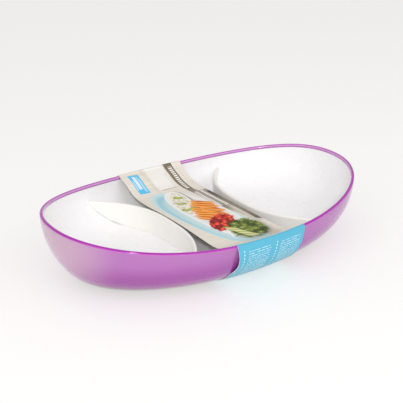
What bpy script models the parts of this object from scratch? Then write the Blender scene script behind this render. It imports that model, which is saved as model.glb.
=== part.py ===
"""Chip and dip server.

A boat-shaped serving bowl with a double wall: a tinted outer shell that carries the rim, and a
white inner bowl seated under the rim with an air gap that grows toward the floor. Two bowed
dividers stand loose on the floor and lift straight out. A printed paperboard sleeve is wrapped
round the middle, with its ends overlapping under the base.

Units are metres, +Z is up, +X runs along the bowl toward its right end. The origin is the middle
of the sleeve's underside, which the server stands on.
"""
import math
from collections import namedtuple

import bmesh
import bpy
from mathutils import Vector

# Bowl, overall
HALF_LENGTH = 0.1750
HALF_WIDTH = 0.1085
RIM_LOW = 0.0527            # height of the rim at the middle of the bowl
RIM_RISE = 0.0165           # how much higher the rim is at the two ends
RIM_CURVE = 2.2             # power of the rim's rise along the bowl
RIM_EXPONENT = 2.19         # superellipse exponent of the rim's plan
FOOT_EXPONENT = 1.95        # superellipse exponent of the foot's plan
FOOT_LENGTH_RATIO = 0.74    # foot half length over rim half length
FOOT_WIDTH_RATIO = 0.533    # foot half width over rim half width

# Walls
RIM_THICKNESS = 0.0035
RIM_DEPTH = 0.0033          # from the rim's top down to the ledge that the inner bowl meets
SHELL_SKIN = 0.0016         # outer shell's wall beside the inner bowl's top edge
FOOT_RING_WIDTH = 0.0070
FOOT_RECESS = 0.0012
RECESS_SLOPE = 0.0012
SHELL_FLOOR = 0.0040        # height of the shell's inside floor
BOWL_FLOOR = 0.0145         # height of the inner bowl's floor
BOWL_FLOOR_THICKNESS = 0.0020
BOWL_FLOOR_HALF_LENGTH = 0.1310
BOWL_FLOOR_HALF_WIDTH = 0.0630

# Dividers
DIVIDER_MIDDLE = 0.0442     # distance of a divider's middle from the bowl's centre
DIVIDER_OFFSET = 0.0040     # the left one sits this much nearer, the right one this much farther
DIVIDER_BOW = 0.0400        # how far a divider bends away at DIVIDER_REACH from its middle
DIVIDER_REACH = 0.0900
DIVIDER_CURVE = 2.75
DIVIDER_TOP = 0.0400
DIVIDER_THICKNESS = 0.0028
FOOT_BEAD_WIDTH = 0.0036
FOOT_BEAD_HEIGHT = 0.0016
TOP_BEAD_WIDTH = 0.0032
TOP_BEAD_HEIGHT = 0.0030
DIVIDER_END_GAP = 0.0006

# Sleeve
SLEEVE_WIDTH = 0.0800
BOARD = 0.0005              # thickness of the paperboard
SEAM_OVERLAP = 0.0240
SEAM_STEP = 0.0055          # length over which the upper ply climbs onto the lower one
NEAR_BEND = math.radians(125)   # how far the board wraps over the near rim, from its outer side
FAR_BEND = math.radians(165)
# Top panel sagging between the rims, far side first, as y and z at its middle line and how far
# its left edge stands above that line, the right edge the same below
TOP_PANEL = [
    (0.1000, 0.0498, 0.0015), (0.0910, 0.0460, 0.0020), (0.0810, 0.0411, 0.0014),
    (0.0710, 0.0385, 0.0007), (0.0600, 0.0375, 0.0006), (0.0400, 0.0376, 0.0007),
    (0.0100, 0.0385, 0.0012), (-0.0220, 0.0388, 0.0010), (-0.0620, 0.0381, 0.0003),
    (-0.0750, 0.0388, 0.0), (-0.0840, 0.0411, 0.0), (-0.0940, 0.0456, 0.0),
    (-0.1010, 0.0496, 0.0),
]
SLEEVE_SLANT = -0.0038      # how much further along the bowl the far side sits than the near side
PANEL_STEPS = 3             # points on each stretch of the top panel

# Fits and facets
GAP = 0.0003                # clearance between pieces that touch
AROUND = 84
WALL_STEPS = 9
RIM_STEPS = 6
DIVIDER_STEPS = 26
SLEEVE_STATIONS = 7

Surface = namedtuple("Surface", "foot_x foot_y top_x top_y foot_z drop")
FOOT_Z = BOARD + GAP
FOOT_HALF_LENGTH = HALF_LENGTH * FOOT_LENGTH_RATIO
FOOT_HALF_WIDTH = HALF_WIDTH * FOOT_WIDTH_RATIO
RIM_RADIUS = RIM_THICKNESS / 2
LEVELS = [step / WALL_STEPS for step in range(WALL_STEPS + 1)]

SHELL_OUTSIDE = Surface(
    FOOT_HALF_LENGTH, FOOT_HALF_WIDTH, HALF_LENGTH, HALF_WIDTH, FOOT_Z, RIM_RADIUS)
SHELL_INSIDE = Surface(
    FOOT_HALF_LENGTH - SHELL_SKIN, FOOT_HALF_WIDTH - SHELL_SKIN,
    HALF_LENGTH - SHELL_SKIN, HALF_WIDTH - SHELL_SKIN, SHELL_FLOOR, RIM_DEPTH)
BOWL_INSIDE = Surface(
    BOWL_FLOOR_HALF_LENGTH, BOWL_FLOOR_HALF_WIDTH,
    HALF_LENGTH - RIM_THICKNESS, HALF_WIDTH - RIM_THICKNESS, BOWL_FLOOR, RIM_DEPTH + GAP)
BOWL_OUTSIDE = Surface(
    BOWL_FLOOR_HALF_LENGTH + BOWL_FLOOR_THICKNESS, BOWL_FLOOR_HALF_WIDTH + BOWL_FLOOR_THICKNESS,
    HALF_LENGTH - SHELL_SKIN - GAP, HALF_WIDTH - SHELL_SKIN - GAP,
    BOWL_FLOOR - BOWL_FLOOR_THICKNESS, RIM_DEPTH + GAP)


# Scene helpers

def clear_scene():
    for thing in list(bpy.data.objects):
        bpy.data.objects.remove(thing, do_unlink=True)


def make_material(name, color, roughness):
    material = bpy.data.materials.new(name)
    material.use_nodes = True
    shader = material.node_tree.nodes["Principled BSDF"]
    shader.inputs["Base Color"].default_value = (*color, 1.0)
    shader.inputs["Roughness"].default_value = roughness
    shader.inputs["Metallic"].default_value = 0.0
    material.diffuse_color = (*color, 1.0)
    return material


def make_object(name, bm, material, location=(0.0, 0.0, 0.0), sharp=40):
    bmesh.ops.recalc_face_normals(bm, faces=bm.faces)
    mesh = bpy.data.meshes.new(name)
    bm.to_mesh(mesh)
    bm.free()
    mesh.shade_smooth()
    mesh.set_sharp_from_angle(angle=math.radians(sharp))
    mesh.materials.append(material)
    piece = bpy.data.objects.new(name, mesh)
    piece.location = location
    bpy.context.collection.objects.link(piece)
    return piece


# The bowl's form: every wall is a family of superellipses between a foot and a rim

def rim_height(along):
    """Height of the rim where `along` is the distance from the middle over the half length."""
    return RIM_LOW + RIM_RISE * abs(along) ** RIM_CURVE


def signed_power(value, power):
    return math.copysign(abs(value) ** power, value)


def wall_level(surface, level):
    """Half length, half width, exponent and share of the height at a level from 0 to 1."""
    spread = math.sin(level * math.pi / 2)
    lift = 1 - math.cos(level * math.pi / 2)
    half_x = surface.foot_x + (surface.top_x - surface.foot_x) * spread
    half_y = surface.foot_y + (surface.top_y - surface.foot_y) * spread
    exponent = FOOT_EXPONENT + (RIM_EXPONENT - FOOT_EXPONENT) * spread
    return half_x, half_y, exponent, lift


def wall_height(surface, along, lift):
    return surface.foot_z + (rim_height(along) - surface.drop - surface.foot_z) * lift


def plan_ring(half_x, half_y, exponent, height):
    """One ring of points round the bowl; height is a function of the share of the half length."""
    ring = []
    for step in range(AROUND):
        turn = 2 * math.pi * step / AROUND
        along = signed_power(math.cos(turn), 2 / exponent)
        across = signed_power(math.sin(turn), 2 / exponent)
        ring.append(Vector((half_x * along, half_y * across, height(along))))
    return ring


def flat_ring(half_x, half_y, z):
    return plan_ring(half_x, half_y, FOOT_EXPONENT, lambda along: z)


def wall_ring(surface, level):
    half_x, half_y, exponent, lift = wall_level(surface, level)
    return plan_ring(half_x, half_y, exponent, lambda along: wall_height(surface, along, lift))


def rim_ring(angle):
    """A ring on the rounded rim, from its outer side at angle 0 to its inner side at pi."""
    shift = RIM_RADIUS * (1 - math.cos(angle))
    rise = RIM_RADIUS * (1 - math.sin(angle))
    return plan_ring(HALF_LENGTH - shift, HALF_WIDTH - shift, RIM_EXPONENT,
                     lambda along: rim_height(along) - rise)


def wall_half_width(surface, x, level):
    """Distance of a wall from the long axis, and its height, at a place along the bowl."""
    half_x, half_y, exponent, lift = wall_level(surface, level)
    along = min(abs(x) / half_x, 1.0)
    width = half_y * (1 - along ** exponent) ** (1 / exponent)
    return width, wall_height(surface, along, lift)


def half_width_at_height(surface, x, z):
    """Distance of a wall from the long axis at a place along the bowl and a height."""
    low, high = 0.0, 1.0
    for _ in range(40):
        middle = (low + high) / 2
        if wall_half_width(surface, x, middle)[1] < z:
            low = middle
        else:
            high = middle
    return wall_half_width(surface, x, low)[0]


def skin_rings(rings, bottom_z, top_z):
    """Close a stack of rings with a flat fan at each end of the stack."""
    bm = bmesh.new()
    loops = [[bm.verts.new(point) for point in ring] for ring in rings]
    for lower, upper in zip(loops, loops[1:]):
        for step in range(AROUND):
            after = (step + 1) % AROUND
            bm.faces.new((lower[step], lower[after], upper[after], upper[step]))
    for loop, z in ((loops[0], bottom_z), (loops[-1], top_z)):
        centre = bm.verts.new((0.0, 0.0, z))
        for step in range(AROUND):
            bm.faces.new((centre, loop[(step + 1) % AROUND], loop[step]))
    return bm


def build_outer_shell():
    ring_x = FOOT_HALF_LENGTH - FOOT_RING_WIDTH
    ring_y = FOOT_HALF_WIDTH - FOOT_RING_WIDTH
    recess_z = FOOT_Z + FOOT_RECESS
    rings = [flat_ring(ring_x - RECESS_SLOPE, ring_y - RECESS_SLOPE, recess_z),
             flat_ring(ring_x, ring_y, FOOT_Z)]
    rings += [wall_ring(SHELL_OUTSIDE, level) for level in LEVELS[:-1]]
    rings += [rim_ring(math.pi * step / RIM_STEPS) for step in range(RIM_STEPS + 1)]
    rings.append(plan_ring(BOWL_INSIDE.top_x, BOWL_INSIDE.top_y, RIM_EXPONENT,
                           lambda along: rim_height(along) - RIM_DEPTH))
    rings += [wall_ring(SHELL_INSIDE, level) for level in reversed(LEVELS)]
    bm = skin_rings(rings, recess_z, SHELL_FLOOR)
    tint = make_material("tinted_shell", (0.42, 0.09, 0.44), 0.22)
    return make_object("outer_shell", bm, tint)


def build_inner_bowl():
    rings = [wall_ring(BOWL_OUTSIDE, level) for level in LEVELS]
    rings += [wall_ring(BOWL_INSIDE, level) for level in reversed(LEVELS)]
    bm = skin_rings(rings, BOWL_OUTSIDE.foot_z, BOWL_FLOOR)
    white = make_material("white_liner", (0.93, 0.92, 0.94), 0.25)
    return make_object("inner_bowl", bm, white)


# Dividers

def divider_section():
    """Half width at each height of a divider's wall, from the foot bead to the rounded top."""
    foot = BOWL_FLOOR + GAP
    wall = DIVIDER_THICKNESS / 2
    bead = FOOT_BEAD_WIDTH / 2
    lip = TOP_BEAD_WIDTH / 2
    section = [(bead, foot), (bead, foot + FOOT_BEAD_HEIGHT),
               (wall, foot + FOOT_BEAD_HEIGHT + bead - wall),
               (wall, DIVIDER_TOP - TOP_BEAD_HEIGHT), (lip, DIVIDER_TOP - lip)]
    section += [(lip * math.cos(turn), DIVIDER_TOP - lip * (1 - math.sin(turn)))
                for turn in (math.radians(40), math.radians(70))]
    return section


def divider_point(side, reach, offset):
    """Plan position at a reach along a divider, moved sideways from its centreline."""
    bend = DIVIDER_BOW * (abs(reach) / DIVIDER_REACH) ** DIVIDER_CURVE
    slope = math.copysign(bend * DIVIDER_CURVE / max(abs(reach), 1e-9), reach)
    scale = offset / math.hypot(1.0, slope)
    x = DIVIDER_MIDDLE + bend + scale
    y = reach - scale * slope
    return side * x, y + side * DIVIDER_OFFSET


def divider_end(side, sign, offset, z):
    """Reach at which a divider's end stops short of the inner bowl's wall."""
    near, far = 0.0, 0.12
    for _ in range(40):
        reach = (near + far) / 2
        x, y = divider_point(side, sign * reach, offset)
        wall = half_width_at_height(BOWL_INSIDE, x, z - DIVIDER_END_GAP)
        clear = abs(y) < wall - DIVIDER_END_GAP
        near, far = (reach, far) if clear else (near, reach)
    return sign * near


def build_divider(name, side, material):
    section = divider_section()
    outline = [(-half, z) for half, z in section] + [(half, z) for half, z in reversed(section)]
    origin = Vector((side * DIVIDER_MIDDLE, side * DIVIDER_OFFSET, BOWL_FLOOR + GAP))
    bm = bmesh.new()
    columns = []
    for offset, z in outline:
        low_end = divider_end(side, -1, offset, z)
        high_end = divider_end(side, 1, offset, z)
        column = []
        for step in range(DIVIDER_STEPS + 1):
            reach = low_end + (high_end - low_end) * step / DIVIDER_STEPS
            x, y = divider_point(side, reach, offset)
            column.append(bm.verts.new(Vector((x, y, z)) - origin))
        columns.append(column)
    for left, right in zip(columns, columns[1:] + columns[:1]):
        for step in range(DIVIDER_STEPS):
            bm.faces.new((left[step], left[step + 1], right[step + 1], right[step]))
    rows = len(section)
    for step in (0, DIVIDER_STEPS):
        for row in range(rows - 1):
            mirror = 2 * rows - 1 - row
            bm.faces.new((columns[row][step], columns[row + 1][step],
                          columns[mirror - 1][step], columns[mirror][step]))
    return make_object(name, bm, material, location=origin)


# Sleeve

def smooth_through(points, steps):
    """Points on a Catmull-Rom curve through the given points, ends included."""
    padded = [points[0] * 2 - points[1]] + points + [points[-1] * 2 - points[-2]]
    curve = []
    for before, start, end, after in zip(padded, padded[1:], padded[2:], padded[3:]):
        for step in range(steps):
            t = step / steps
            curve.append(start + (end - before) * (t / 2)
                         + (before * 2 - start * 5 + end * 4 - after) * (t * t / 2)
                         + (start * 3 - before - end * 3 + after) * (t ** 3 / 2))
    curve.append(points[-1])
    return curve


def offset_along(path, distance):
    """Move an open (y, z) path to its left by a distance."""
    moved = []
    for index, point in enumerate(path):
        before = path[max(index - 1, 0)]
        after = path[min(index + 1, len(path) - 1)]
        direction = (after - before).normalized()
        moved.append(point + Vector((-direction.y, direction.x)) * distance)
    return moved


def sleeve_wall(x, side, bend):
    """Board's middle line from the foot up the shell's side and over its rim."""
    stand_off = GAP + BOARD / 2
    shell = [Vector(wall_half_width(SHELL_OUTSIDE, x, level)) for level in LEVELS]
    path = offset_along(shell, -stand_off)
    path[0] = shell[0] - Vector((0.0, stand_off))
    top_width, top_z = shell[-1]
    radius = RIM_RADIUS + stand_off
    middle = Vector((top_width - RIM_RADIUS, top_z))
    path[-1] = middle + Vector((radius, 0.0))
    for step in range(1, RIM_STEPS + 1):
        angle = bend * step / RIM_STEPS
        path.append(middle + Vector((math.cos(angle), math.sin(angle))) * radius)
    return [Vector((side * width, z)) for width, z in path]


def slanted(x, y):
    return x + SLEEVE_SLANT * (y / HALF_WIDTH + 1) / 2


def sleeve_path(x):
    """Board's middle line round the bowl at a place along it, from the inner ply's end."""
    far_side = sleeve_wall(x + SLEEVE_SLANT, 1, FAR_BEND)
    near_side = sleeve_wall(x, -1, NEAR_BEND)
    narrowing = near_side[WALL_STEPS].x / sleeve_wall(0.0, -1, NEAR_BEND)[WALL_STEPS].x
    panel = [Vector((y * narrowing, z - rise * 2 * x / SLEEVE_WIDTH)) for y, z, rise in TOP_PANEL]
    panel = smooth_through([far_side[-1]] + panel + [near_side[-1]], PANEL_STEPS)
    lower = BOARD / 2
    upper = lower + BOARD + GAP
    half_lap = SEAM_OVERLAP / 2
    start = [Vector((-half_lap, upper)), Vector((half_lap + BOARD, upper)),
             Vector((half_lap + BOARD + SEAM_STEP, lower))]
    finish = [Vector((half_lap, lower))]
    return start + far_side + panel[1:-1] + near_side[::-1] + finish


def build_sleeve():
    bm = bmesh.new()
    stations = []
    for index in range(SLEEVE_STATIONS):
        x = SLEEVE_WIDTH * (index / (SLEEVE_STATIONS - 1) - 0.5)
        path = sleeve_path(x)
        faces_of_board = []
        for distance in (-BOARD / 2, BOARD / 2):
            line = offset_along(path, distance)
            faces_of_board.append([bm.verts.new((slanted(x, y), y, z)) for y, z in line])
        stations.append(faces_of_board)
    count = len(stations[0][0])
    for here, there in zip(stations, stations[1:]):
        for side in (0, 1):
            for step in range(count - 1):
                bm.faces.new((here[side][step], here[side][step + 1],
                              there[side][step + 1], there[side][step]))
        for step in (0, count - 1):
            bm.faces.new((here[0][step], here[1][step], there[1][step], there[0][step]))
    for outer, inner in (stations[0], stations[-1]):
        for step in range(count - 1):
            bm.faces.new((outer[step], outer[step + 1], inner[step + 1], inner[step]))
    board = make_material("printed_board", (0.80, 0.76, 0.68), 0.55)
    return make_object("sleeve", bm, board)


def main():
    clear_scene()
    build_outer_shell()
    build_inner_bowl()
    cream = make_material("cream_plastic", (0.93, 0.91, 0.86), 0.30)
    build_divider("left_divider", -1, cream)
    build_divider("right_divider", 1, cream)
    build_sleeve()


main()
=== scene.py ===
"""Looks of a chip and dip server: tinted double wall, white bowl, two dividers, printed sleeve."""
import math
import random

import bmesh
import bpy
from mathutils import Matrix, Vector


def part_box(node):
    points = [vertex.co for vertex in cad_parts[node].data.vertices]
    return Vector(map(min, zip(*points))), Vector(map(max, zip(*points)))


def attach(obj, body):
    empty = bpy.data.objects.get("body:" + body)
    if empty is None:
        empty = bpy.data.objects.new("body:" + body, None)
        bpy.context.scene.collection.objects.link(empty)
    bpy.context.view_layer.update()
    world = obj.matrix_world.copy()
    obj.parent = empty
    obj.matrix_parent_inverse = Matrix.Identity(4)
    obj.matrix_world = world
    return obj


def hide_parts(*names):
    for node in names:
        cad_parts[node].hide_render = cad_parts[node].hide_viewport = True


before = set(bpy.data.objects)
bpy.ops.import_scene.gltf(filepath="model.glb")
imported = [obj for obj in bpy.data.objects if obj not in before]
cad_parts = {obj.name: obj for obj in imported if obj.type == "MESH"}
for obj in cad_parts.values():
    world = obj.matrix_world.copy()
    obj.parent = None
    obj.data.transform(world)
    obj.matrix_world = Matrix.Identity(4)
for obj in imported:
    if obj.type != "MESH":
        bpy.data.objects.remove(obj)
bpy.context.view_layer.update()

# Places and sizes that the frame gives
SHELL_LOW, SHELL_HIGH = (Vector(corner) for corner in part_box("outer_shell"))
BOWL_LOW = Vector(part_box("inner_bowl")[0])
DIVIDER_HIGH = Vector(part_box("right_divider")[1])
HALF_LENGTH = SHELL_HIGH.x
HALF_WIDTH = SHELL_HIGH.y
FOOT_Z = SHELL_LOW.z

# The bowl's form in metres, the same as the solids that the frame holds
RIM_RISE = 0.0165
RIM_LOW = SHELL_HIGH.z - RIM_RISE
RIM_CURVE = 2.2
RIM_EXPONENT = 2.19
FOOT_EXPONENT = 1.95
FOOT_LENGTH_RATIO = 0.74
FOOT_WIDTH_RATIO = 0.533
RIM_THICKNESS = 0.0035
RIM_DEPTH = 0.0033
SHELL_SKIN = 0.0016
FOOT_RING_WIDTH = 0.0070
FOOT_RECESS = 0.0012
SHELL_FLOOR = 0.0040
BOWL_FLOOR_THICKNESS = 0.0020
BOWL_FLOOR = BOWL_LOW.z + BOWL_FLOOR_THICKNESS
BOWL_FLOOR_HALF_LENGTH = 0.1310
BOWL_FLOOR_HALF_WIDTH = 0.0630
GAP = 0.0003

# Dividers
DIVIDER_MIDDLE = 0.0442
DIVIDER_OFFSET = 0.0040
DIVIDER_BOW = 0.0400
DIVIDER_REACH = 0.0900
DIVIDER_CURVE = 2.75
DIVIDER_TOP = DIVIDER_HIGH.z
DIVIDER_THICKNESS = 0.0028
DIVIDER_END_GAP = 0.00015
DIVIDER_FOOT_GAP = 0.0001
DIVIDER_FLARE = 0.0005      # how far the foot spreads out from the wall
DIVIDER_LIP = 0.0016        # half thickness of the rounded top

# Sleeve
SLEEVE_WIDTH = 0.0800
BOARD = 0.0005
SEAM_OVERLAP = 0.0240
SEAM_STEP = 0.0055
NEAR_BEND = math.radians(125)
FAR_BEND = math.radians(165)
# Top panel sagging between the rims, far side first, as y and z at its middle line and how far
# its left edge stands above that line, the right edge the same below
TOP_PANEL = [
    (0.1000, 0.0498, 0.0015), (0.0910, 0.0460, 0.0020), (0.0810, 0.0411, 0.0014),
    (0.0710, 0.0385, 0.0007), (0.0600, 0.0375, 0.0006), (0.0400, 0.0376, 0.0007),
    (0.0100, 0.0385, 0.0012), (-0.0220, 0.0388, 0.0010), (-0.0620, 0.0381, 0.0003),
    (-0.0750, 0.0388, 0.0), (-0.0840, 0.0411, 0.0), (-0.0940, 0.0456, 0.0),
    (-0.1010, 0.0496, 0.0),
]
SLEEVE_SLANT = -0.0038      # how much further along the bowl the far side sits than the near side
EDGE_LIFT = 0.0045          # how far the board's left edge stands off the shell's near side
EDGE_START = 0.008          # distance left of the middle where the edge starts to lift
EDGE_RUN = 0.032            # and the length over which it lifts in full
EDGE_LOW = 0.020            # height where the lifted stretch of the near side begins

PLASTIC_IOR = 1.49

# Facets
AROUND = 288
WALL_STEPS = 36
RIM_STEPS = 14
PANEL_STEPS = 8
SLEEVE_STATIONS = 49
DIVIDER_STEPS = 120

# Camera
EYE = Vector((-0.4358, -0.6175, 0.3799))
YAW = math.radians(34.861)
PITCH = math.radians(23.619)
LENS = 71.46
SENSOR = 36.0


# Shader maths

class Amount:
    """A number, vector or colour inside a material, held as the socket that carries it."""

    def __init__(self, finish, socket):
        self.finish = finish
        self.socket = socket

    def maths(self, operation, *values):
        inputs = dict(enumerate(values))
        return self.finish.node("ShaderNodeMath", {"operation": operation}, inputs)

    def __add__(self, other):
        return self.maths("ADD", self, other)

    def __sub__(self, other):
        return self.maths("SUBTRACT", self, other)

    def __mul__(self, other):
        return self.maths("MULTIPLY", self, other)

    def __truediv__(self, other):
        return self.maths("DIVIDE", self, other)

    def __rsub__(self, other):
        return self.maths("SUBTRACT", other, self)

    def __rtruediv__(self, other):
        return self.maths("DIVIDE", other, self)

    def __abs__(self):
        return self.maths("ABSOLUTE", self)

    __radd__ = __add__
    __rmul__ = __mul__

    def at_least(self, other):
        return self.maths("MAXIMUM", self, other)

    def fade(self, start, end, low=0.0, high=1.0):
        """Low before start, high after end, with a smooth change between."""
        settings = {"interpolation_type": "SMOOTHSTEP"}
        inputs = {"Value": self, "From Min": start, "From Max": end, "To Min": low, "To Max": high}
        return self.finish.node("ShaderNodeMapRange", settings, inputs)


class Finish:
    """One material being made, and every node in it."""

    def __init__(self, name, **constants):
        self.material = bpy.data.materials.new(name)
        self.material.use_nodes = True
        self.tree = self.material.node_tree
        self.surface = self.tree.nodes["Principled BSDF"]
        self.set(**constants)

    def set(self, **values):
        """Feeds the shader's sockets; Base_Color stands for Base Color."""
        for name, value in values.items():
            self.feed(self.surface.inputs[name.replace("_", " ")], value)

    def feed(self, socket, value):
        if isinstance(value, Amount):
            self.tree.links.new(value.socket, socket)
        elif socket.type == "RGBA" and len(value) == 3:
            socket.default_value = (*value, 1.0)
        else:
            socket.default_value = value

    def node(self, kind, settings=None, inputs=None, output=0):
        made = self.tree.nodes.new(kind)
        for name, value in (settings or {}).items():
            if name == "stops":
                self.set_stops(made.color_ramp, value)
            else:
                setattr(made, name, value)
        for name, value in (inputs or {}).items():
            self.feed(made.inputs[name], value)
        return Amount(self, made.outputs[output])

    @staticmethod
    def set_stops(ramp, stops):
        while len(ramp.elements) < len(stops):
            ramp.elements.new(0.5)
        for element, (place, colour) in zip(ramp.elements, stops):
            element.position = place
            element.color = (*colour, 1.0)

    def place(self):
        """Position on the piece, in metres."""
        return self.node("ShaderNodeTexCoord", output="Object")

    def part_of(self, vector, axis):
        return self.node("ShaderNodeSeparateXYZ", inputs={"Vector": vector}, output=axis)

    def scaled(self, vector, scale):
        return self.node("ShaderNodeVectorMath", {"operation": "MULTIPLY"},
                         {0: vector, 1: scale})

    def noise(self, vector, scale, detail=2.0, roughness=0.5):
        inputs = {"Vector": vector, "Scale": scale, "Detail": detail, "Roughness": roughness}
        return self.node("ShaderNodeTexNoise", inputs=inputs)

    def blend(self, share, first, second):
        """The first colour where share is 0 and the second where it is 1."""
        inputs = {0: share, 6: first, 7: second}
        return self.node("ShaderNodeMix", {"data_type": "RGBA"}, inputs, output=2)

    def bump(self, height, strength, distance):
        inputs = {"Height": height, "Strength": strength, "Distance": distance}
        self.set(Normal=self.node("ShaderNodeBump", inputs=inputs))


# Mesh helpers

def make_piece(name, bm, body, node, finish, sharp=35):
    bmesh.ops.recalc_face_normals(bm, faces=bm.faces)
    mesh = bpy.data.meshes.new(name)
    bm.to_mesh(mesh)
    bm.free()
    mesh.shade_smooth()
    mesh.set_sharp_from_angle(angle=math.radians(sharp))
    mesh.materials.append(finish.material)
    piece = bpy.data.objects.new(name, mesh)
    bpy.context.collection.objects.link(piece)
    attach(piece, body)
    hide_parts(node)
    return piece


# The bowl's form: each wall is a family of superellipses between a foot and a rim

class Wall:
    def __init__(self, foot, top, foot_z, drop):
        self.foot_x, self.foot_y = foot
        self.top_x, self.top_y = top
        self.foot_z = foot_z
        self.drop = drop

    def plan(self, level):
        """Half length, half width, exponent and share of the height at a level from 0 to 1."""
        spread = math.sin(level * math.pi / 2)
        lift = 1 - math.cos(level * math.pi / 2)
        half_x = self.foot_x + (self.top_x - self.foot_x) * spread
        half_y = self.foot_y + (self.top_y - self.foot_y) * spread
        exponent = FOOT_EXPONENT + (RIM_EXPONENT - FOOT_EXPONENT) * spread
        return half_x, half_y, exponent, lift

    def height(self, along, lift):
        return self.foot_z + (rim_height(along) - self.drop - self.foot_z) * lift

    def ring(self, level):
        half_x, half_y, exponent, lift = self.plan(level)
        return plan_ring(half_x, half_y, exponent, lambda along: self.height(along, lift))

    def side(self, x, level):
        """Distance from the long axis and height, at a place along the bowl and a level."""
        half_x, half_y, exponent, lift = self.plan(level)
        along = min(abs(x) / half_x, 1.0)
        return half_y * (1 - along ** exponent) ** (1 / exponent), self.height(along, lift)

    def half_width(self, x, z):
        """Distance from the long axis at a place along the bowl and a height."""
        low, high = 0.0, 1.0
        for _ in range(40):
            middle = (low + high) / 2
            if self.side(x, middle)[1] < z:
                low = middle
            else:
                high = middle
        return self.side(x, low)[0]


def rim_height(along):
    return RIM_LOW + RIM_RISE * abs(along) ** RIM_CURVE


def signed_power(value, power):
    return math.copysign(abs(value) ** power, value)


def plan_ring(half_x, half_y, exponent, height):
    ring = []
    for step in range(AROUND):
        turn = 2 * math.pi * step / AROUND
        along = signed_power(math.cos(turn), 2 / exponent)
        across = signed_power(math.sin(turn), 2 / exponent)
        ring.append(Vector((half_x * along, half_y * across, height(along))))
    return ring


def flat_ring(half_x, half_y, z):
    return plan_ring(half_x, half_y, FOOT_EXPONENT, lambda along: z)


def rim_ring(angle):
    shift = RIM_THICKNESS / 2 * (1 - math.cos(angle))
    rise = RIM_THICKNESS / 2 * (1 - math.sin(angle))
    return plan_ring(HALF_LENGTH - shift, HALF_WIDTH - shift, RIM_EXPONENT,
                     lambda along: rim_height(along) - rise)


def skin_rings(rings, bottom_z, top_z, rim=range(0)):
    """Skins a stack of rings. The rim's gaps take the second material and a way round the bead."""
    bm = bmesh.new()
    section = bm.loops.layers.uv.new("section")
    loops = [[bm.verts.new(point) for point in ring] for ring in rings]
    for gap, (lower, upper) in enumerate(zip(loops, loops[1:])):
        for step in range(AROUND):
            after = (step + 1) % AROUND
            face = bm.faces.new((lower[step], lower[after], upper[after], upper[step]))
            if gap in rim:
                face.material_index = 1
                for loop, row in zip(face.loops, (0, 0, 1, 1)):
                    loop[section].uv = (step / AROUND, (gap - rim.start + row) / len(rim))
    for loop, z in ((loops[0], bottom_z), (loops[-1], top_z)):
        centre = bm.verts.new((0.0, 0.0, z))
        for step in range(AROUND):
            bm.faces.new((centre, loop[(step + 1) % AROUND], loop[step]))
    return bm


FOOT = (HALF_LENGTH * FOOT_LENGTH_RATIO, HALF_WIDTH * FOOT_WIDTH_RATIO)
SHELL_OUTSIDE = Wall(FOOT, (HALF_LENGTH, HALF_WIDTH), FOOT_Z, RIM_THICKNESS / 2)
SHELL_INSIDE = Wall((FOOT[0] - SHELL_SKIN, FOOT[1] - SHELL_SKIN),
                    (HALF_LENGTH - SHELL_SKIN, HALF_WIDTH - SHELL_SKIN), SHELL_FLOOR, RIM_DEPTH)
BOWL_INSIDE = Wall((BOWL_FLOOR_HALF_LENGTH, BOWL_FLOOR_HALF_WIDTH),
                   (HALF_LENGTH - RIM_THICKNESS, HALF_WIDTH - RIM_THICKNESS),
                   BOWL_FLOOR, RIM_DEPTH + GAP)
BOWL_OUTSIDE = Wall((BOWL_FLOOR_HALF_LENGTH + BOWL_FLOOR_THICKNESS,
                     BOWL_FLOOR_HALF_WIDTH + BOWL_FLOOR_THICKNESS),
                    (HALF_LENGTH - SHELL_SKIN - GAP, HALF_WIDTH - SHELL_SKIN - GAP),
                    BOWL_LOW.z, RIM_DEPTH + GAP)
LEVELS = [step / WALL_STEPS for step in range(WALL_STEPS + 1)]


def shell_finish():
    """Tinted see-through plastic with a random tone and painted light: a painted sheen pales the
    upper wall under the rim, a painted reflection pales the left end, and painted shade darkens the
    low wall and the foot.
    """
    finish = Finish("tinted_purple_plastic", Metallic=0.0, IOR=PLASTIC_IOR,
                    Transmission_Weight=0.55, Coat_Weight=0.3, Coat_Roughness=0.05)
    place = finish.place()
    height = finish.part_of(place, "Z")
    flow = finish.noise(finish.scaled(place, (18.0, 18.0, 40.0)), 1.0, detail=3.0)
    colour = finish.blend(flow.fade(0.35, 0.65), (0.56, 0.062, 0.58), (0.60, 0.075, 0.61))
    # painted sheen: the upper wall is painted paler toward the rim
    colour = finish.blend(height.fade(0.022, 0.050), colour, (0.73, 0.29, 0.75))
    # painted reflection: the left end of the shell is painted pale pink
    left_end_reflection = finish.part_of(place, "X").fade(-0.176, -0.138, 0.68, 0.0)
    colour = finish.blend(left_end_reflection, colour, (1.0, 0.80, 0.86))
    # painted shade: the low wall is painted darker, and the foot nearly black as a painted shadow
    # line
    colour = finish.blend(height.fade(0.006, 0.020, 1.0, 0.0), colour, (0.40, 0.08, 0.36))
    colour = finish.blend(height.fade(0.004, 0.0105, 1.0, 0.0), colour, (0.12, 0.02, 0.07))
    finish.set(Base_Color=colour)
    smears = finish.noise(place, 55.0, detail=4.0)
    finish.set(Roughness=smears.fade(0.4, 0.7, 0.12, 0.18))
    finish.bump(finish.noise(place, 260.0), 0.02, 0.0002)
    return finish


# Colours across the rim's bead, from its outer side at 0 to its inner side at 1
RIM_TINTS = [(0.0, (0.50, 0.10, 0.48)), (0.22, (0.38, 0.005, 0.38)), (0.60, (0.42, 0.01, 0.40)),
             (0.72, (0.58, 0.18, 0.56)), (1.0, (0.68, 0.36, 0.68))]


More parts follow.
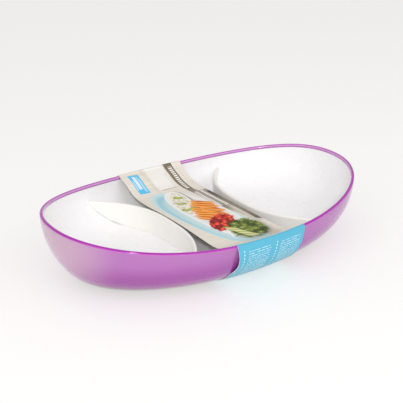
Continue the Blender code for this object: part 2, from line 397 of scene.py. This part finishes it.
def rim_finish():
    """The rim's solid bead: deep on the outside and the crest, pale where it meets the bowl."""
    finish = Finish("solid_purple_rim", Metallic=0.0, IOR=PLASTIC_IOR, Coat_Roughness=0.06,
                    Specular_IOR_Level=0.3)
    share = finish.part_of(finish.node("ShaderNodeUVMap", {"uv_map": "section"}), "Y")
    place = finish.place()
    flow = finish.noise(place, 60.0, detail=3.0)
    edge = share + (flow - 0.5) * 0.12
    colour = finish.node("ShaderNodeValToRGB", {"stops": RIM_TINTS}, {"Fac": edge})
    finish.set(Base_Color=colour, Coat_Weight=0.9)
    finish.set(Roughness=finish.noise(place, 90.0).fade(0.35, 0.7, 0.16, 0.24))
    finish.bump(finish.noise(place, 300.0), 0.02, 0.0002)
    return finish


def make_outer_shell():
    ring_x = FOOT[0] - FOOT_RING_WIDTH
    ring_y = FOOT[1] - FOOT_RING_WIDTH
    recess_z = FOOT_Z + FOOT_RECESS
    rings = [flat_ring(ring_x - FOOT_RECESS, ring_y - FOOT_RECESS, recess_z),
             flat_ring(ring_x, ring_y, FOOT_Z)]
    rings += [SHELL_OUTSIDE.ring(level) for level in LEVELS[:-1]]
    rim = range(len(rings), len(rings) + RIM_STEPS)
    rings += [rim_ring(math.pi * step / RIM_STEPS) for step in range(RIM_STEPS + 1)]
    rings.append(plan_ring(BOWL_INSIDE.top_x, BOWL_INSIDE.top_y, RIM_EXPONENT,
                           lambda along: rim_height(along) - RIM_DEPTH))
    rings += [SHELL_INSIDE.ring(level) for level in reversed(LEVELS)]
    bm = skin_rings(rings, recess_z, SHELL_FLOOR, rim)
    piece = make_piece("tinted_shell", bm, "bowl", "outer_shell", shell_finish())
    piece.data.materials.append(rim_finish().material)


def liner_finish():
    finish = Finish("white_plastic", Metallic=0.0, IOR=PLASTIC_IOR, Coat_Roughness=0.12)
    place = finish.place()
    cloud = finish.noise(place, 16.0, detail=3.0)
    colour = finish.blend(cloud.fade(0.3, 0.7), (0.93, 0.92, 0.93), (0.955, 0.95, 0.955))
    finish.set(Base_Color=colour)
    smears = finish.noise(place, 70.0, detail=4.0)
    finish.set(Roughness=smears.fade(0.35, 0.7, 0.27, 0.32), Coat_Weight=0.25)
    finish.bump(finish.noise(place, 420.0), 0.01, 0.0002)
    return finish


def make_inner_bowl():
    rings = [BOWL_OUTSIDE.ring(level) for level in LEVELS]
    rings += [BOWL_INSIDE.ring(level) for level in reversed(LEVELS)]
    bm = skin_rings(rings, BOWL_OUTSIDE.foot_z, BOWL_FLOOR)
    make_piece("white_bowl", bm, "bowl", "inner_bowl", liner_finish())


# Dividers

def divider_section():
    """Half width and height round one side of a divider's wall, from foot bead to rounded top."""
    foot = BOWL_FLOOR + DIVIDER_FOOT_GAP
    wall = DIVIDER_THICKNESS / 2
    flare = DIVIDER_FLARE
    lip = DIVIDER_LIP
    section = [(wall + flare * (1 - math.sin(turn)), foot + flare * (1 - math.cos(turn)))
               for turn in (math.radians(angle) for angle in range(0, 91, 15))]
    section += [(wall, foot + 0.006), (wall, DIVIDER_TOP - 0.008), (wall, DIVIDER_TOP - 0.0045),
                (wall + 0.0001, DIVIDER_TOP - 0.0035), (lip, DIVIDER_TOP - lip - 0.0006)]
    section += [(lip * math.cos(turn), DIVIDER_TOP - lip * (1 - math.sin(turn)))
                for turn in (math.radians(angle) for angle in (10, 30, 50, 68, 84))]
    return section


def divider_point(side, reach, offset):
    """Plan position at a reach along a divider, moved sideways from its centreline."""
    bend = DIVIDER_BOW * (abs(reach) / DIVIDER_REACH) ** DIVIDER_CURVE
    slope = math.copysign(bend * DIVIDER_CURVE / max(abs(reach), 1e-9), reach)
    scale = offset / math.hypot(1.0, slope)
    return side * (DIVIDER_MIDDLE + bend + scale), reach - scale * slope + side * DIVIDER_OFFSET


def divider_end(side, sign, offset, z):
    """Reach at which a divider's end stops short of the bowl's wall."""
    near, far = 0.0, 0.12
    for _ in range(40):
        reach = (near + far) / 2
        x, y = divider_point(side, sign * reach, offset)
        wall = BOWL_INSIDE.half_width(x, z - DIVIDER_END_GAP)
        clear = abs(y) < wall - DIVIDER_END_GAP
        near, far = (reach, far) if clear else (near, reach)
    return sign * near


def make_divider(node, side, finish):
    section = divider_section()
    outline = [(-half, z) for half, z in section] + [(half, z) for half, z in reversed(section)]
    bm = bmesh.new()
    columns = []
    for offset, z in outline:
        low_end = divider_end(side, -1, offset, z)
        high_end = divider_end(side, 1, offset, z)
        column = []
        for step in range(DIVIDER_STEPS + 1):
            reach = low_end + (high_end - low_end) * step / DIVIDER_STEPS
            x, y = divider_point(side, reach, offset)
            column.append(bm.verts.new((x, y, z)))
        columns.append(column)
    for left, right in zip(columns, columns[1:] + columns[:1]):
        for step in range(DIVIDER_STEPS):
            bm.faces.new((left[step], left[step + 1], right[step + 1], right[step]))
    rows = len(section)
    for step in (0, DIVIDER_STEPS):
        for row in range(rows - 1):
            mirror = 2 * rows - 1 - row
            bm.faces.new((columns[row][step], columns[row + 1][step],
                          columns[mirror - 1][step], columns[mirror][step]))
    make_piece(node + "_wall", bm, node, node, finish, sharp=50)


def divider_finish():
    finish = Finish("cream_plastic", Metallic=0.0, IOR=PLASTIC_IOR, Coat_Roughness=0.15)
    place = finish.place()
    cloud = finish.noise(place, 22.0, detail=3.0)
    colour = finish.blend(cloud.fade(0.3, 0.7), (0.90, 0.875, 0.83), (0.93, 0.91, 0.87))
    finish.set(Base_Color=colour)
    smears = finish.noise(place, 80.0, detail=4.0)
    finish.set(Roughness=smears.fade(0.35, 0.7, 0.30, 0.36), Coat_Weight=0.2)
    finish.bump(finish.noise(place, 420.0), 0.01, 0.0002)
    return finish


# Sleeve

def smooth_through(points, steps):
    """A curve through all the points, with some steps between each two."""
    padded = [points[0] * 2 - points[1]] + points + [points[-1] * 2 - points[-2]]
    curve = []
    for before, start, end, after in zip(padded, padded[1:], padded[2:], padded[3:]):
        for step in range(steps):
            t = step / steps
            curve.append(start + (end - before) * (t / 2)
                         + (before * 2 - start * 5 + end * 4 - after) * (t * t / 2)
                         + (start * 3 - before - end * 3 + after) * (t ** 3 / 2))
    curve.append(points[-1])
    return curve


def offset_along(path, distance):
    """The path moved sideways, to its left when the distance is positive."""
    moved = []
    for index, point in enumerate(path):
        before = path[max(index - 1, 0)]
        after = path[min(index + 1, len(path) - 1)]
        direction = (after - before).normalized()
        moved.append(point + Vector((-direction.y, direction.x)) * distance)
    return moved


def sleeve_wall(x, side, bend):
    """The board's middle line up one side of the shell and over the rim by an angle."""
    stand_off = GAP + BOARD / 2
    shell = [Vector(SHELL_OUTSIDE.side(x, level)) for level in LEVELS]
    path = offset_along(shell, -stand_off)
    path[0] = shell[0] - Vector((0.0, stand_off))
    radius = RIM_THICKNESS / 2 + stand_off
    middle = shell[-1] - Vector((RIM_THICKNESS / 2, 0.0))
    path[-1] = middle + Vector((radius, 0.0))
    for step in range(1, RIM_STEPS + 1):
        angle = bend * step / RIM_STEPS
        path.append(middle + Vector((math.cos(angle), math.sin(angle))) * radius)
    if side < 0:
        edge = min(max((-x - EDGE_START) / EDGE_RUN, 0.0), 1.0) ** 1.5
        for index, point in enumerate(path):
            share = (point.y - EDGE_LOW) / (RIM_LOW - EDGE_LOW)
            if 0 < share < 1 and index <= WALL_STEPS:
                path[index] = point + Vector((EDGE_LIFT * edge * math.sin(math.pi * share), 0.0))
    return [Vector((side * width, z)) for width, z in path]


def slanted(x, y):
    """Place along the bowl of a point of the sleeve, which sits slightly askew."""
    return x + SLEEVE_SLANT * (y / HALF_WIDTH + 1) / 2


def sleeve_path(x):
    """The board's middle line all the way round, and the index of the near rim's crest."""
    far_side = sleeve_wall(x + SLEEVE_SLANT, 1, FAR_BEND)
    near_side = sleeve_wall(x, -1, NEAR_BEND)
    narrowing = near_side[WALL_STEPS].x / sleeve_wall(0.0, -1, NEAR_BEND)[WALL_STEPS].x
    panel = [Vector((y * narrowing, z - rise * 2 * x / SLEEVE_WIDTH)) for y, z, rise in TOP_PANEL]
    panel = smooth_through([far_side[-1]] + panel + [near_side[-1]], PANEL_STEPS)
    lower = BOARD / 2
    upper = lower + BOARD + GAP
    half_lap = SEAM_OVERLAP / 2
    start = [Vector((-half_lap, upper)), Vector((half_lap + BOARD, upper)),
             Vector((half_lap + BOARD + SEAM_STEP, lower))]
    finish = [Vector((half_lap, lower))]
    path = start + far_side + panel[1:-1] + near_side[::-1] + finish
    crest = len(path) - 1 - (WALL_STEPS + 1) - RIM_STEPS * 90 // round(math.degrees(NEAR_BEND))
    return path, crest


PRINTED, BACK, CUT = 0, 1, 2    # the sleeve's material slots


def make_sleeve():
    bm = bmesh.new()
    sheet = bm.loops.layers.uv.new("sheet")
    stations = []
    places = {}
    for index in range(SLEEVE_STATIONS):
        x = SLEEVE_WIDTH * (index / (SLEEVE_STATIONS - 1) - 0.5)
        path, crest = sleeve_path(x)
        run = [0.0]
        for before, after in zip(path, path[1:]):
            run.append(run[-1] + (after - before).length)
        lines = []
        for distance in (-BOARD / 2, BOARD / 2):
            line = []
            for place, (y, z) in enumerate(offset_along(path, distance)):
                vert = bm.verts.new((slanted(x, y), y, z))
                places[vert] = (x, run[crest] - run[place])
                line.append(vert)
            lines.append(line)
        stations.append(lines)
    count = len(stations[0][0])
    for here, there in zip(stations, stations[1:]):
        for side in (0, 1):
            for step in range(count - 1):
                face = bm.faces.new((here[side][step], here[side][step + 1],
                                     there[side][step + 1], there[side][step]))
                face.material_index = (PRINTED, BACK)[side]
        for step in (0, count - 1):
            face = bm.faces.new((here[0][step], here[1][step], there[1][step], there[0][step]))
            face.material_index = CUT
    for outer, inner in (stations[0], stations[-1]):
        for step in range(count - 1):
            face = bm.faces.new((outer[step], outer[step + 1], inner[step + 1], inner[step]))
            face.material_index = CUT
    for face in bm.faces:
        for loop in face.loops:
            loop[sheet].uv = places[loop.vert]
    piece = make_piece("printed_sleeve", bm, "bowl", "sleeve", print_finish())
    back = bare_board_finish("grey_back_board", (0.50, 0.47, 0.43), (0.60, 0.57, 0.53))
    edge = bare_board_finish("cut_board_edge", (0.82, 0.78, 0.72), (0.92, 0.89, 0.84))
    piece.data.materials.append(back.material)
    piece.data.materials.append(edge.material)


def bare_board_finish(name, dark, pale):
    finish = Finish(name, Metallic=0.0)
    place = finish.place()
    fibre = finish.noise(finish.scaled(place, (900.0, 300.0, 900.0)), 1.0, detail=4.0)
    finish.set(Base_Color=finish.blend(fibre.fade(0.3, 0.7), dark, pale))
    finish.set(Roughness=fibre.fade(0.3, 0.7, 0.75, 0.9))
    finish.bump(fibre, 0.2, 0.0001)
    return finish


# The sleeve's print, laid out in millimetres on the flat sheet: x runs across the band, and v runs
# along it from the fold over the near rim, toward the far side on top and negative down the front.

WARM_SHADE = (0.30, 0.26, 0.20)
STROKE = (0.97, 0.96, 0.93)
FAINT_STROKE = (0.60, 0.55, 0.48)
CARROTS = 16
STEMS = 9
LINE_PITCH = 2.7            # of the plain lines on the blue panels
DOT_PITCH = 3.6             # of the dotted rules beside them


class Sheet:
    """Millimetre coordinates on the flat sheet, with the shapes that the print is made of."""

    def __init__(self, finish):
        self.finish = finish
        metres = finish.node("ShaderNodeUVMap", {"uv_map": "sheet"})
        self.spot = finish.scaled(metres, (1000.0, 1000.0, 0.0))
        self.x = finish.part_of(self.spot, "X")
        self.v = finish.part_of(self.spot, "Y")
        self.colour = None

    def paint(self, mask, colour):
        self.colour = self.finish.blend(mask, self.colour, colour)

    def band(self, value, low, high, soft=0.25):
        return value.fade(low - soft, low + soft) * value.fade(high - soft, high + soft, 1.0, 0.0)

    def block(self, x_range, v_range, x=None, soft=0.25):
        x = x or self.x
        return self.band(x, *x_range, soft) * self.band(self.v, *v_range, soft)

    def oval(self, middle, half, lean, spot=None):
        """0 at the middle and 1 on the edge of an oval that leans by some degrees."""
        inputs = {"Vector": spot or self.spot, "Location": (*middle, 0.0),
                  "Rotation": (0.0, 0.0, math.radians(lean)), "Scale": (*half, 1.0)}
        local = self.finish.node("ShaderNodeMapping", {"vector_type": "TEXTURE"}, inputs)
        return self.finish.node("ShaderNodeVectorMath", {"operation": "LENGTH"}, {0: local},
                                output="Value"), local

    def inside(self, distance, soft=0.03):
        return distance.fade(1.0 - soft, 1.0 + soft, 1.0, 0.0)

    def ramp(self, value, stops):
        return self.finish.node("ShaderNodeValToRGB", {"stops": stops}, {"Fac": value})


def print_board(sheet):
    """Pale wood behind everything on the top panel."""
    grain = sheet.finish.noise(sheet.finish.scaled(sheet.spot, (0.02, 0.9, 1.0)), 1.0, detail=5.0)
    sheet.colour = sheet.finish.blend(grain.fade(0.35, 0.65), (0.78, 0.71, 0.61),
                                      (0.84, 0.79, 0.71))
    seam = sheet.band(sheet.x + sheet.v * 0.06, -0.5, 2.2, 1.6) * sheet.v.fade(150.0, 195.0)
    sheet.paint(seam * 0.35, (0.60, 0.54, 0.46))


def print_label(sheet):
    """A plain blue label with plain white bars, and the pale panel beside it."""
    sheet.paint(sheet.block((-31.5, -18.6), (183.0, 213.7)), (0.12, 0.55, 0.86))
    for low, high, start, end in ((-30.2, -29.2, 190, 205), (-27.8, -24.0, 191, 211),
                                  (-22.6, -21.8, 186, 211), (-21.0, -20.4, 186, 207)):
        sheet.paint(sheet.block((low, high), (start, end), soft=0.4) * 0.8, (0.90, 0.95, 0.98))
    sheet.paint(sheet.block((-7.5, 15.0), (182.8, 240.0), soft=0.8) * 0.85, (0.90, 0.885, 0.85))
    sheet.paint(sheet.block((-5.0, 14.0), (181.6, 182.9), soft=0.3) * 0.7, (0.42, 0.34, 0.26))


def print_stripe(sheet):
    """The taupe title stripes, with plain strokes where a title would be."""
    narrowing = sheet.v.fade(130.0, 205.0, 5.2, 0.0) * sheet.v.fade(206.0, 210.0, 1.0, 0.0)
    moved = sheet.x - narrowing * sheet.x.fade(24.0, 27.0, 1.0, 0.0)
    upper = sheet.block((17.8, 28.4), (80.0, 240.0), moved, 0.35)
    tone = sheet.ramp(sheet.v * (1 / 230.0), [
        (0.35, (0.60, 0.54, 0.46)), (0.47, (0.27, 0.22, 0.17)), (0.68, (0.30, 0.25, 0.19)),
        (0.72, (0.30, 0.25, 0.19)), (0.78, (0.20, 0.155, 0.11)), (0.90, (0.26, 0.20, 0.14)),
        (0.99, (0.20, 0.16, 0.12))])
    sheet.paint(upper * sheet.v.fade(82.0, 106.0), tone)
    lower = sheet.block((29.3, 40.5), (60.0, 162.0), soft=0.35)
    sheet.paint(lower * sheet.v.fade(100.0, 118.0, 0.25, 1.0), (0.40, 0.35, 0.28))
    edge = sheet.x - sheet.v.fade(120.0, 160.0, 0.0, 1.8)
    cut_end = (sheet.v + (sheet.x - 36.0) * 0.9).fade(65.5, 66.5)
    dark = sheet.band(edge, 34.2, 39.4, 0.4) * cut_end * sheet.v.fade(154.0, 158.0, 1.0, 0.0)
    tone = sheet.ramp(sheet.v * (1 / 160.0), [
        (0.40, (0.045, 0.035, 0.025)), (0.52, (0.20, 0.17, 0.13)), (0.75, (0.26, 0.22, 0.17)),
        (0.97, (0.04, 0.035, 0.025))])
    sheet.paint(dark * 0.92, tone)
    sheet.paint(sheet.block((28.6, 29.5), (80.0, 166.0), soft=0.2) * 0.7, (0.14, 0.11, 0.08))
    strokes = sheet.v.maths("PINGPONG", sheet.v, 1.55).fade(0.45, 0.75)
    for low, high, start, end, tone, share in (
            (21.8, 26.4, 174, 215, (0.94, 0.93, 0.90), 0.95), (22.8, 26.6, 113, 162, STROKE, 1.0),
            (30.4, 33.8, 112, 161, STROKE, 1.0), (31.6, 33.8, 186, 214, FAINT_STROKE, 0.35),
            (12.2, 14.4, 183, 208, FAINT_STROKE, 0.45)):
        sheet.paint(sheet.block((low, high), (start, end), soft=0.3) * strokes * share, tone)


def print_dish(sheet):
    """The picture's pale blue oval dish with its white inside."""
    shade, _ = sheet.oval((3.0, 88.0), (31.0, 80.0), 8.0)
    shade = shade.fade(0.90, 1.08, 0.45, 0.0) * sheet.v.fade(20.0, 90.0, 1.0, 0.2)
    sheet.paint(shade, WARM_SHADE)
    outer, _ = sheet.oval((-5.0, 98.0), (28.5, 80.0), 8.0)
    glaze = sheet.ramp(outer + (sheet.v - 100.0) * 0.0012, [
        (0.62, (0.62, 0.78, 0.80)), (0.80, (0.54, 0.74, 0.77)), (0.93, (0.32, 0.64, 0.75)),
        (1.0, (0.50, 0.74, 0.78))])
    sheet.paint(sheet.inside(outer), glaze)
    sheet.paint(outer.fade(0.92, 0.98) * sheet.inside(outer) * 0.5, (0.72, 0.88, 0.90))
    inner, _ = sheet.oval((1.0, 105.0), (22.5, 70.0), 3.0)
    hollow = sheet.ramp(inner, [(0.0, (0.62, 0.58, 0.50)), (0.75, (0.80, 0.79, 0.75)),
                                (1.0, (0.93, 0.93, 0.92))])
    sheet.paint(sheet.inside(inner), hollow)


def print_dip(sheet):
    """A white dip cup with chopped herbs on it."""
    shadow, _ = sheet.oval((-4.0, 137.5), (11.6, 36.2), -14.6)
    sheet.paint(shadow.fade(0.94, 1.10, 0.65, 0.0), WARM_SHADE)
    cup, _ = sheet.oval((-6.0, 139.5), (11.2, 35.8), -14.6)
    sheet.paint(sheet.inside(cup), (0.95, 0.94, 0.91))
    cream, _ = sheet.oval((-6.2, 140.0), (9.8, 33.4), -14.6)
    lumps = sheet.finish.noise(sheet.spot, 0.28, detail=2.0)
    dip = sheet.finish.blend(lumps.fade(0.4, 0.6), (0.72, 0.65, 0.50), (0.93, 0.90, 0.80))
    sheet.paint(sheet.inside(cream, 0.06), dip)
    ripple = sheet.finish.noise(sheet.spot, 0.55, detail=1.0)
    for x, v, half_x, half_v, lean in ((-1.6, 157.0, 5.6, 3.0, -32), (-7.4, 141.5, 5.4, 2.8, -30),
                                       (-15.4, 123.5, 2.6, 3.2, 10), (-8.0, 121.5, 5.0, 3.0, -8),
                                       (-3.6, 124.0, 1.8, 3.4, 20)):
        leaf, _ = sheet.oval((x, v), (half_x, half_v), lean)
        leaf = leaf + (ripple - 0.5) * 0.9
        tint = sheet.ramp(leaf, [(0.15, (0.66, 0.68, 0.12)), (0.6, (0.38, 0.48, 0.03)),
                                 (1.0, (0.12, 0.22, 0.01))])
        sheet.paint(sheet.inside(leaf, 0.12), tint)


def print_carrots(sheet):
    """A heap of carrot sticks that widens toward the near side, each lit along its middle."""
    draw = random.Random(4)
    fibre = sheet.finish.noise(sheet.spot, 0.6, detail=3.0)
    for stick in range(CARROTS):
        share = stick / (CARROTS - 1)
        spread = (1.5 + 8.0 * share) * draw.uniform(0.7, 1.0)
        middle = (12.0 - 13.0 * share + (spread if stick % 2 else -spread), 134.0 - 44.0 * share)
        half = (draw.uniform(11.0, 13.5), draw.uniform(3.4, 4.2))
        lean = -36.0 + draw.uniform(-14.0, 10.0)
        carrot, local = sheet.oval(middle, half, lean)
        across = abs(sheet.finish.part_of(local, "Y")) + (fibre - 0.5) * 0.35
        tint = sheet.ramp(across, [(0.0, (1.0, 0.55, 0.14)), (0.35, (0.95, 0.31, 0.03)),
                                   (0.68, (0.78, 0.14, 0.01)), (1.0, (0.26, 0.03, 0.01))])
        sheet.paint(sheet.inside(carrot, 0.05), tint)


def print_tomatoes(sheet):
    """A heap of small tomatoes: round cells, each with a bright spot."""
    heap, _ = sheet.oval((-0.8, 78.5), (14.0, 22.5), -45.0)
    cells = {"Vector": sheet.spot, "Scale": 0.19, "Randomness": 0.75}
    near = sheet.finish.node("ShaderNodeTexVoronoi", {}, cells, output="Distance")
    skin = sheet.ramp(near, [(0.0, (0.98, 0.50, 0.36)), (0.12, (0.92, 0.15, 0.08)),
                             (0.42, (0.74, 0.04, 0.02)), (0.62, (0.24, 0.01, 0.008))])
    ragged = heap + (near - 0.3) * 0.35
    sheet.paint(sheet.inside(ragged, 0.05), skin)


def print_broccoli(sheet):
    """Florets over pale stems, behind a white wall of the dish."""
    wobble = sheet.finish.noise(sheet.spot, 0.16, detail=2.0)
    shadow, _ = sheet.oval((12.0, 50.0), (20.5, 23.5), -8.0)
    sheet.paint(shadow.fade(0.8, 1.12, 0.6, 0.0), (0.12, 0.11, 0.06))
    crown, _ = sheet.oval((12.0, 54.0), (18.5, 22.0), -10.0)
    crown = crown + (wobble - 0.5) * 0.8
    buds = sheet.finish.noise(sheet.spot, 0.75, detail=4.0, roughness=0.65)
    cells = {"Vector": sheet.spot, "Scale": 0.16}
    clumps = sheet.finish.node("ShaderNodeTexVoronoi", {}, cells, output="Distance")
    tone = (buds * 0.7 + (1.0 - clumps) * 0.35).fade(0.35, 0.80)
    green = sheet.ramp(tone, [(0.0, (0.03, 0.05, 0.010)), (0.40, (0.13, 0.19, 0.03)),
                              (0.70, (0.32, 0.38, 0.08)), (1.0, (0.66, 0.68, 0.22))])
    sheet.paint(sheet.inside(crown, 0.08), green)
    for step in range(STEMS):
        middle = (-2.6 + 1.25 * step, 64.0 - 3.4 * step)
        stem, _ = sheet.oval(middle, (7.6, 1.2), -42.0 + 2.0 * step)
        tint = (0.78, 0.76, 0.46) if step % 2 else (0.50, 0.54, 0.12)
        sheet.paint(sheet.inside(stem, 0.1), tint)
    wall, _ = sheet.oval((-9.6, 54.0), (0.9, 10.5), -16.0)
    sheet.paint(sheet.inside(wall, 0.2), (0.94, 0.94, 0.92))


def print_front(sheet):
    """The blue outer panels, painted darker toward the bottom as painted shade, with two columns of
    plain lines and dotted rules.
    """
    folded = sheet.v.fade(-0.3, 0.3, 1.0, 0.0)
    over_far = sheet.v.fade(226.0, 226.6)
    outside = folded.at_least(over_far)
    # painted shade: the printed blue is painted darker toward the bottom of the front panel
    blue_with_painted_shade = sheet.finish.blend(sheet.v.fade(-60.0, -20.0), (0.13, 0.38, 0.48), (0.11, 0.45, 0.62))
    sheet.paint(outside, blue_with_painted_shade)
    rows = sheet.v * (1 / LINE_PITCH)
    row = rows.maths("FRACT", rows)
    number = rows.maths("FLOOR", rows)
    seat = sheet.finish.node("ShaderNodeCombineXYZ", inputs={"X": sheet.x * 0.55, "Y": number * 7.3})
    words = sheet.finish.noise(seat, 1.0, detail=1.0).fade(0.40, 0.46)
    columns = sheet.band(sheet.x, -29.0, -2.0).at_least(sheet.band(sheet.x, 9.5, 35.0))
    lines = row.fade(0.32, 0.42) * row.fade(0.60, 0.70, 1.0, 0.0) * words * columns
    depth = sheet.v.fade(-66.0, -64.0) * sheet.v.fade(-8.0, -7.0, 1.0, 0.0)
    back = sheet.v.fade(240.0, 242.0) * sheet.v.fade(288.0, 290.0, 1.0, 0.0)
    shown = depth.at_least(back)
    sheet.paint(lines * shown * 0.6, (0.88, 0.95, 0.98))
    dots = sheet.v * (1 / DOT_PITCH)
    beat = dots.maths("FRACT", dots)
    rules = sheet.band(sheet.x, -34.6, -33.6, 0.2).at_least(sheet.band(sheet.x, 4.6, 5.6, 0.2))
    sheet.paint(rules * beat.fade(0.45, 0.6) * shown * 0.8, (0.93, 0.98, 0.99))


def print_finish():
    finish = Finish("printed_board", Metallic=0.0, Specular_IOR_Level=0.12)
    sheet = Sheet(finish)
    print_board(sheet)
    print_label(sheet)
    print_stripe(sheet)
    print_dish(sheet)
    print_dip(sheet)
    print_carrots(sheet)
    print_tomatoes(sheet)
    print_broccoli(sheet)
    print_front(sheet)
    finish.set(Base_Color=sheet.colour)
    rub = finish.noise(sheet.spot, 0.06, detail=4.0)
    finish.set(Roughness=rub.fade(0.35, 0.7, 0.34, 0.46))
    finish.bump(finish.noise(sheet.spot, 0.9, detail=2.0), 0.05, 0.0002)
    return finish


# Surroundings

def set_the_stage():
    bm = bmesh.new()
    reach = 4.0
    corners = ((-reach, -reach), (reach, -reach), (reach, reach), (-reach, reach))
    bm.faces.new([bm.verts.new((x, y, 0.0)) for x, y in corners])
    mesh = bpy.data.meshes.new("floor")
    bm.to_mesh(mesh)
    bm.free()
    finish = Finish("pale_floor", Roughness=0.8, Emission_Strength=1.0)
    finish.set(Base_Color=(0.52, 0.52, 0.515), Emission_Color=(0.49, 0.483, 0.473))
    mesh.materials.append(finish.material)
    floor = bpy.data.objects.new("floor", mesh)
    bpy.context.collection.objects.link(floor)


def add_light(name, place, size, power, colour=(1.0, 1.0, 1.0)):
    """A flat lamp aimed at the middle of the bowl."""
    lamp = bpy.data.lights.new(name, "AREA")
    lamp.shape = "RECTANGLE"
    lamp.size, lamp.size_y = size
    lamp.energy = power
    lamp.color = colour
    holder = bpy.data.objects.new(name, lamp)
    holder.location = place
    aim = Vector((0.0, 0.0, 0.03)) - Vector(place)
    holder.rotation_euler = aim.to_track_quat("-Z", "Y").to_euler()
    bpy.context.collection.objects.link(holder)


def light_and_camera():
    scene = bpy.context.scene
    scene.view_settings.view_transform = "Standard"
    world = bpy.data.worlds.new("studio")
    world.use_nodes = True
    background = world.node_tree.nodes["Background"]
    background.inputs["Color"].default_value = (1.0, 0.995, 0.99, 1.0)
    background.inputs["Strength"].default_value = 0.61
    scene.world = world
    add_light("flash", (-0.87, -1.35, 0.93), (0.16, 0.16), 12.8)
    add_light("right_fill", (0.35, -1.0, 0.75), (1.3, 0.9), 2.6)
    add_light("left_fill", (-1.0, -0.35, 0.80), (0.5, 0.5), 1.0, (1.0, 0.95, 0.94))
    camera = bpy.data.cameras.new("camera")
    camera.lens = LENS
    camera.sensor_width = SENSOR
    camera.clip_start = 0.01
    holder = bpy.data.objects.new("camera", camera)
    holder.location = EYE
    holder.rotation_euler = (math.pi / 2 - PITCH, 0.0, -YAW)
    bpy.context.collection.objects.link(holder)
    scene.camera = holder


make_outer_shell()
make_inner_bowl()
cream = divider_finish()
make_divider("left_divider", -1, cream)
make_divider("right_divider", 1, cream)
make_sleeve()
set_the_stage()
light_and_camera()
